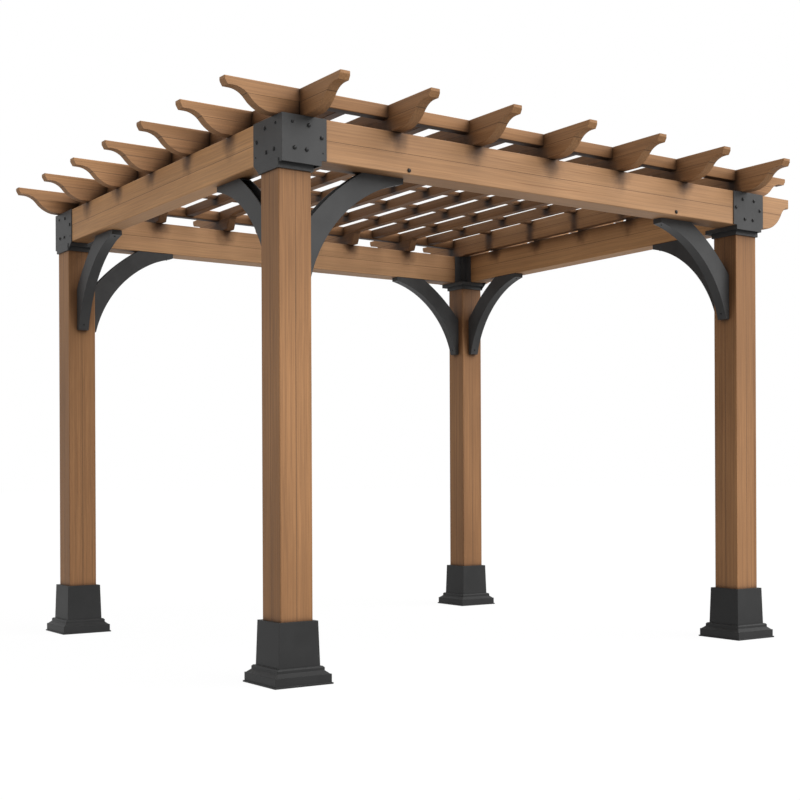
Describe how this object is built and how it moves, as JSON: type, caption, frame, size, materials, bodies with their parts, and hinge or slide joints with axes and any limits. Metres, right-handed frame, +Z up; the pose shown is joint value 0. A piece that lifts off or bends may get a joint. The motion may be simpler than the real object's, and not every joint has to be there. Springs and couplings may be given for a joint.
{
  "type": "wooden pergola",
  "caption": "Free-standing wooden pergola: posts in black metal bases, beams held by corner brackets and curved knee braces, and an open roof of crossing boards with scroll-cut tails.",
  "frame": {"origin": "on the ground at the middle of the footprint", "axes": "+X along the front beam to the right, +Y from front to back, +Z up"},
  "size_m": [3.084, 2.87, 2.245],
  "materials": {
    "stained_timber": "warm brown stain with long grain, satin",
    "black_metal": "charcoal black powder coat, matt"
  },
  "bodies": {
    "root": {"beam_back": "stained_timber", "beam_front": "stained_timber", "beam_left": "stained_timber", "beam_right": "stained_timber", "brace_back_left_across": "black_metal", "brace_back_left_along": "black_metal", "brace_back_right_across": "black_metal", "brace_back_right_along": "black_metal", "brace_front_left_across": "black_metal", "brace_front_left_along": "black_metal", "brace_front_right_across": "black_metal", "brace_front_right_along": "black_metal", "corner_bracket_back_left": "black_metal", "corner_bracket_back_right": "black_metal", "corner_bracket_front_left": "black_metal", "corner_bracket_front_right": "black_metal", "post_back_left": "stained_timber", "post_back_right": "stained_timber", "post_base_back_left": "black_metal", "post_base_back_right": "black_metal", "post_base_front_left": "black_metal", "post_base_front_right": "black_metal", "post_front_left": "stained_timber", "post_front_right": "stained_timber", "purlin_1": "stained_timber", "purlin_2": "stained_timber", "purlin_3": "stained_timber", "purlin_4": "stained_timber", "purlin_5": "stained_timber", "purlin_6": "stained_timber", "purlin_7": "stained_timber", "rafter_1": "stained_timber", "rafter_2": "stained_timber", "rafter_3": "stained_timber", "rafter_4": "stained_timber", "rafter_5": "stained_timber", "rafter_6": "stained_timber", "rafter_7": "stained_timber", "slat_1": "stained_timber", "slat_2": "stained_timber", "slat_3": "stained_timber", "slat_4": "stained_timber", "slat_5": "stained_timber", "slat_6": "stained_timber"}
  },
  "joints": []
}
